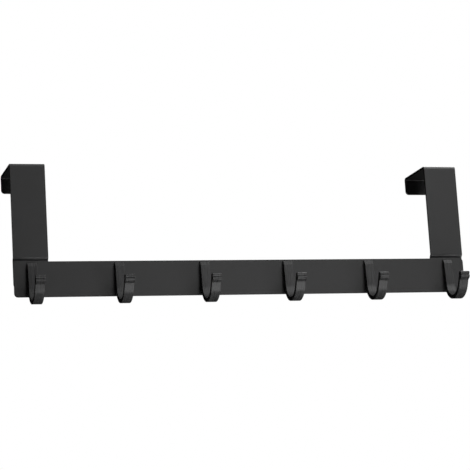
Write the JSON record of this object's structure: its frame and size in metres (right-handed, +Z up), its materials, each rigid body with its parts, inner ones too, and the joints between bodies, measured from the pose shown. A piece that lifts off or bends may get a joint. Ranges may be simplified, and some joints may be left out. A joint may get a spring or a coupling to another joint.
{
  "type": "over door hook",
  "caption": "Coat hook rail that hangs over a door: strap brackets with a back lip, a flat rail across them and J shaped hooks with ribbed tips.",
  "frame": {"origin": "midway between the brackets, where the door's room side meets its top edge: Y = 0 is the back of the tabs, Z = 0 the underside of the saddles", "axes": "+Z up, +X to the right as seen from the room, +Y into the door"},
  "size_m": [0.407, 0.0888, 0.1245],
  "materials": {
    "rail_finish": "satin graphite coat on steel",
    "bracket_finish": "satin graphite coat on steel",
    "hook_finish": "satin graphite anodised aluminium",
    "screw_finish": "dark steel"
  },
  "bodies": {
    "root": {"rail": "rail_finish", "left_bracket": "bracket_finish", "right_bracket": "bracket_finish", "hook_1": "hook_finish", "hook_2": "hook_finish", "hook_3": "hook_finish", "hook_4": "hook_finish", "hook_5": "hook_finish", "hook_6": "hook_finish", "bracket_screws": "screw_finish", "hook_screws": "screw_finish"}
  },
  "joints": []
}
